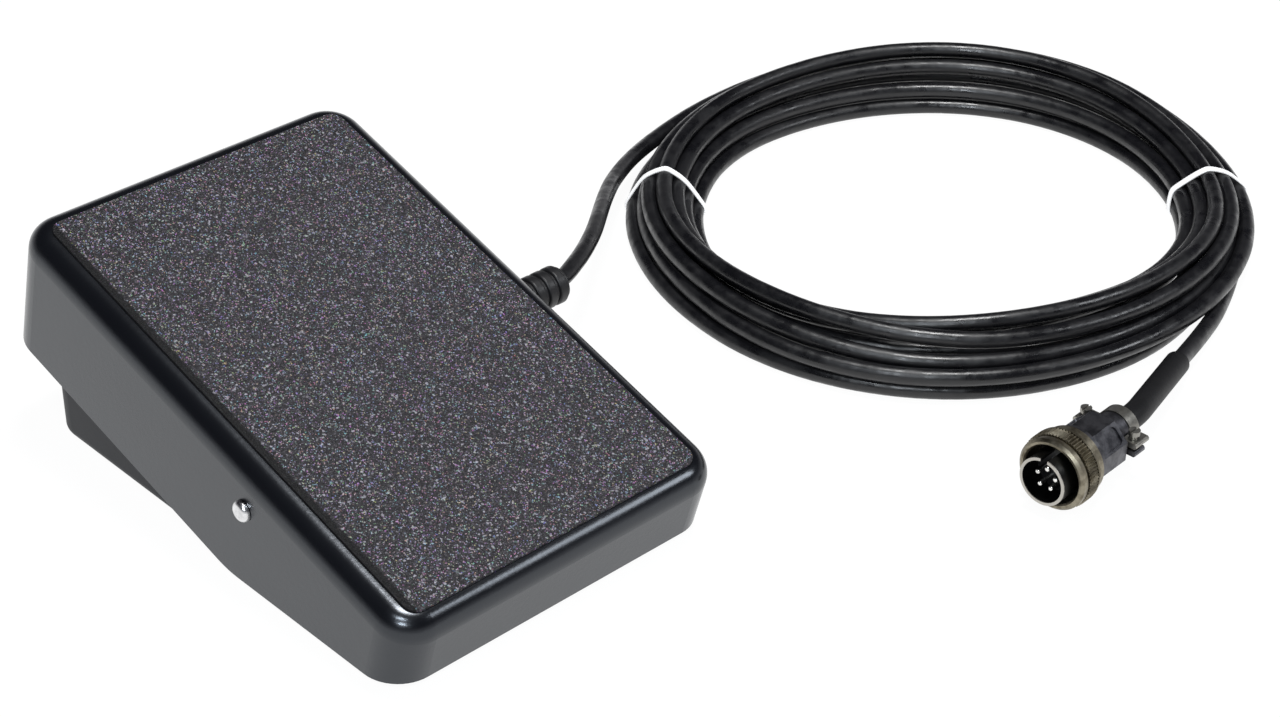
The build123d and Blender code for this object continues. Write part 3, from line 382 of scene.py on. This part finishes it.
def enamel(name, color, roughness, specular):
    """Baked enamel on pressed steel: orange peel, faint dust and uneven gloss."""
    finish = Finish(name, color, roughness, specular=specular, Specular_Tint=(0.86, 0.92, 1.0, 1))
    finish.feed("Base Color", finish.mix(finish.noise(9, 3), color, tuple(c * 1.5 for c in color)))
    finish.feed("Roughness", finish.span(finish.noise(28, 4), roughness - 0.05, roughness + 0.07))
    finish.bump(finish.noise(520, 2), 0.00003)
    finish.bump(finish.noise(2600, 2), 0.000006)
    return finish.material


PAD_MARGIN_START, PAD_MARGIN_END = -0.0597, -0.0588        # X where the near-black left margin of the sheet fades out


def grit():
    """Anti-slip sheet: dark binder packed with mineral grains, with painted glints: some grains coloured
    bright to stand for sparkling facets.
    """
    finish = Finish("grip_sheet", (0.02, 0.0195, 0.022), 0.8, specular=0.3)
    large = finish.cells(1450)
    pick_small = finish.add("ShaderNodeSeparateColor", {"Color": finish.cells(2700)})
    pick_large = finish.add("ShaderNodeSeparateColor", {"Color": large})
    # painted glints: a share of the grains is coloured bright in this tint and grey, standing for facets
    # that sparkle
    tint = finish.mix(0.7, (0.50, 0.47, 0.55), large, "MULTIPLY")
    body = finish.ramp(pick_small.outputs[0],
                       [(0.0, (0.0085, 0.008, 0.009)), (0.5, (0.021, 0.0195, 0.022)),
                        (0.85, (0.043, 0.040, 0.046)), (1.0, (0.075, 0.070, 0.080))])
    painted_glint_small = finish.ramp(pick_small.outputs[1], [(0.84, 0.0), (0.96, 0.9)])
    painted_glint_large = finish.ramp(pick_large.outputs[1], [(0.95, 0.0), (0.99, 0.6)])
    color = finish.mix(painted_glint_small, body, tint)
    color = finish.mix(painted_glint_large, color, (0.46, 0.44, 0.50))
    across = finish.add("ShaderNodeSeparateXYZ", {"Vector": finish.place}).outputs["X"]
    margin = finish.span(across, 0.03, 1.0, PAD_MARGIN_START, PAD_MARGIN_END)
    color = finish.mix(margin, (0.004, 0.004, 0.0045), color)
    finish.feed("Base Color", color)
    finish.feed("Roughness", finish.span(pick_small.outputs[2], 0.35, 0.9))
    finish.bump(finish.cells(2100, output="Distance"), 0.0002)
    finish.bump(finish.noise(3200, 3), 0.0001)
    return finish.material


def rubber(name, color, roughness, specular=0.5):
    """Matt moulded rubber: cloudy gloss and fine wrinkles."""
    finish = Finish(name, color, roughness, specular=specular)
    finish.feed("Base Color", finish.mix(finish.noise(160, 4), color, tuple(c * 1.9 for c in color)))
    finish.feed("Roughness", finish.span(finish.noise(70, 5, 0.6), roughness - 0.12, roughness + 0.16))
    finish.bump(finish.noise(240, 3), 0.0001)
    finish.bump(finish.noise(1500, 2), 0.00005)
    return finish.material


def jacket(name, color):
    """Cord jacket: soft gloss broken into patches by handling, and slightly uneven underneath."""
    finish = Finish(name, color, 0.42, specular=0.6)
    patches = finish.ramp(finish.noise(75, 5, 0.7), [(0.40, 0.0), (0.58, 1.0)])
    finish.feed("Base Color", finish.mix(finish.noise(210, 4), color, tuple(c * 2 for c in color)))
    finish.feed("Roughness", finish.span(patches, 0.25, 0.46))
    finish.bump(finish.noise(90, 2), 0.0005)
    return finish.material


def moulded(name, color, roughness, **extra):
    """Moulded plastic with a spark-eroded texture."""
    finish = Finish(name, color, roughness, **extra)
    paler = tuple(min(c * 1.25, 1) for c in color)
    finish.feed("Base Color", finish.mix(finish.noise(120, 3), color, paler))
    finish.feed("Roughness", finish.span(finish.noise(300, 3), roughness - 0.06, roughness + 0.08))
    finish.bump(finish.noise(1800, 2), 0.00002)
    return finish.material


def metal(name, color, roughness, grain=(1, 1, 1), stain=None):
    """Bare or plated metal: drawn grain, uneven polish and an optional darker stain."""
    finish = Finish(name, color, roughness, metallic=1.0)
    lines = finish.noise(900, 3, place=finish.stretched(grain))
    stained = finish.ramp(finish.noise(150, 5, 0.65), [(0.42, 0.0), (0.62, 1.0)])
    finish.feed("Base Color", finish.mix(stained, color, stain or tuple(c * 0.7 for c in color)))
    finish.feed("Roughness", finish.span(lines, roughness - 0.06, roughness + 0.14))
    finish.bump(lines, 0.00001)
    return finish.material


RIM_HIGHLIGHT_DEPTH, RIM_HIGHLIGHT_RAGGED = 0.0006, 0.0004     # how far back the painted highlight on the plug's rim reaches, and how unevenly


def barrel_with_painted_rim_highlight():
    """Dark plated barrel, with a painted highlight: the rim that enters the socket is coloured bright where
    its end face catches the light.
    """
    plate = (0.03, 0.03, 0.029)
    finish = Finish("shell_plate", plate, 0.36, metallic=1.0)
    rim = next(mount for mount in frame["record"]["mounts"] if mount["name"] == "plug_barrel")
    back_x, back_y, _ = (-value for value in rim["axis"])
    split = finish.add("ShaderNodeSeparateXYZ", {"Vector": finish.place})
    along = finish.math("ADD", finish.math("MULTIPLY", split.outputs["X"], back_x),
                        finish.math("MULTIPLY", split.outputs["Y"], back_y))
    ragged = finish.math("ADD", along, finish.math("MULTIPLY", finish.noise(900, 3), RIM_HIGHLIGHT_RAGGED))
    rim_along = rim["pos_m"][0] * back_x + rim["pos_m"][1] * back_y
    # painted highlight: a bright band round the rim's front end, standing for the light its end face
    # reflects
    painted_rim_highlight = finish.math("LESS_THAN", ragged, rim_along + RIM_HIGHLIGHT_DEPTH)
    finish.feed("Base Color", finish.mix(painted_rim_highlight, plate, (0.48, 0.46, 0.42)))
    finish.feed("Roughness", finish.span(finish.noise(400, 3), 0.28, 0.45))
    return finish.material


# One finish for each material slot of the frame's record.
finishes = {
    "painted_black": enamel("black_enamel", (0.0035, 0.0038, 0.005), 0.22, 0.75),
    "painted_base": enamel("base_enamel", (0.008, 0.008, 0.0095), 0.5, 0.3),
    "grip": grit(),
    "bare_steel": metal("zinc_plate", (0.62, 0.62, 0.60), 0.38, (1, 6, 1)),
    "bright_steel": metal("bright_steel", (0.86, 0.86, 0.87), 0.24, (1, 1, 5)),
    "spring_steel": metal("spring_wire", (0.32, 0.32, 0.34), 0.35),
    "brass_gear": metal("brass", (0.80, 0.60, 0.26), 0.28),
    "pot_case": moulded("phenolic", (0.09, 0.06, 0.035), 0.45),
    "terminal_metal": metal("tinned_brass", (0.78, 0.72, 0.55), 0.32),
    "switch_case": moulded("switch_case", (0.02, 0.02, 0.022), 0.4),
    "switch_red": moulded("switch_red", (0.45, 0.02, 0.015), 0.35),
    "nylon": moulded("nylon", (0.72, 0.70, 0.62), 0.5),
    "bumper_rubber": rubber("foot_rubber", (0.02, 0.02, 0.02), 0.7),
    "gland_plastic": moulded("gland_nylon", (0.008, 0.008, 0.009), 0.42),
    "cord_rubber": jacket("cord_jacket", (0.003, 0.003, 0.0038)),
    "sleeve_rubber": rubber("sleeve_rubber", (0.0025, 0.0025, 0.003), 0.5, specular=0.3),
    # painted glow: the ties' white plastic gets a faint emission of its own, so they look brighter than
    # their lighting makes them
    "tie_white": moulded("tie_plastic_painted_glow", (0.88, 0.88, 0.89), 0.55, Emission_Color=(1, 1, 1, 1),
                         Emission_Strength=0.25),
    "wire_insulation": moulded("wire_vinyl", (0.6, 0.6, 0.57), 0.35),
    "plug_nut_metal": metal("olive_plate", (0.29, 0.262, 0.20), 0.34, stain=(0.10, 0.084, 0.056)),
    "plug_shell_metal": barrel_with_painted_rim_highlight(),
    "plug_dark_metal": metal("dark_plate", (0.14, 0.14, 0.152), 0.36, stain=(0.055, 0.055, 0.062)),
    "plug_screw_metal": metal("screw_plate", (0.34, 0.33, 0.30), 0.36),
    "plug_insert_plastic": moulded("insulator", (0.006, 0.006, 0.007), 0.4),
    "plug_pin_metal": metal("contact_plate", (0.9, 0.89, 0.86), 0.18),
}


def paint(piece, slot):
    """Gives a piece the finish of a slot, in place of whatever it had."""
    piece.data.materials.clear()
    piece.data.materials.append(finishes[slot])


for part in frame["record"]["subparts"]:
    paint(nodes[part["node"]], part["material_slot"])
paint(cord, "cord_rubber")
for tie in ties:
    paint(tie, "tie_white")

# ------------------------------------------------------------------ what stands for what
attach(cord, "base")
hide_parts("cord_lead", "cord_tail", "cord_coil")
for tie in ties:
    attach(tie, "base")
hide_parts("coil_ties")


# ------------------------------------------------------------------ floor and light
def add_floor():
    """A sheet that glows nearly white, as in the cut-out photo, and takes only a faint shadow."""
    grey = (0.06, 0.06, 0.06)
    build = bmesh.new()
    bmesh.ops.create_grid(build, x_segments=2, y_segments=2, size=6)
    floor = link_mesh("floor", build)
    floor.location.z = -0.0002
    finish = Finish("floor_paper", grey, 0.9, specular=0.0,
                    Emission_Color=(1, 1, 1, 1), Emission_Strength=0.96)
    finish.feed("Base Color", finish.mix(finish.noise(3, 2), grey, (0.07, 0.07, 0.07)))
    floor.data.materials.append(finish.material)


def add_light(name, place, target, size, power, tint=(1, 1, 1)):
    """A rectangular lamp of so many watts, facing its target."""
    data = bpy.data.lights.new(name, "AREA")
    data.shape = "RECTANGLE"
    data.size, data.size_y = size
    data.energy = power
    data.color = tint
    light = bpy.data.objects.new(name, data)
    light.location = place
    light.rotation_euler = (Vector(target) - Vector(place)).to_track_quat("-Z", "Y").to_euler()
    scene.collection.objects.link(light)


def add_world():
    """Surroundings that are light at the horizon and dark overhead, for the gloss to mirror."""
    world = bpy.data.worlds.new("studio")
    world.use_nodes = True
    tree = world.node_tree
    background = tree.nodes["Background"]
    place = tree.nodes.new("ShaderNodeTexCoord")
    split = tree.nodes.new("ShaderNodeSeparateXYZ")
    ramp = tree.nodes.new("ShaderNodeValToRGB")
    tree.links.new(place.outputs["Generated"], split.inputs[0])
    tree.links.new(split.outputs["Z"], ramp.inputs["Fac"])
    tree.links.new(ramp.outputs["Color"], background.inputs["Color"])
    stops = ramp.color_ramp.elements
    stops[0].position, stops[0].color = 0.0, (0.9, 0.9, 0.93, 1)
    stops[1].position, stops[1].color = 0.35, (0.02, 0.02, 0.026, 1)
    background.inputs["Strength"].default_value = 0.8
    scene.world = world


add_floor()
add_world()
HEEL_CORNER = (-0.06, -0.10, 0.08)         # the treadle's near corner, which the two strip lamps light
COOL = (0.88, 0.94, 1.0)
add_light("overhead", (0.22, -0.12, 1.45), (0.14, -0.03, 0.0), (0.4, 0.4), 15)
add_light("right_front", (1.1, -1.1, 1.25), (0.05, -0.05, 0.03), (0.5, 0.5), 7, (0.93, 0.96, 1.0))
add_light("corner_high", (-0.62, -0.60, 1.30), HEEL_CORNER, (0.42, 0.10), 6, COOL)
add_light("corner_low", (-0.95, -0.90, 0.95), HEEL_CORNER, (0.42, 0.06), 7, COOL)
scene.view_settings.view_transform = "Standard"
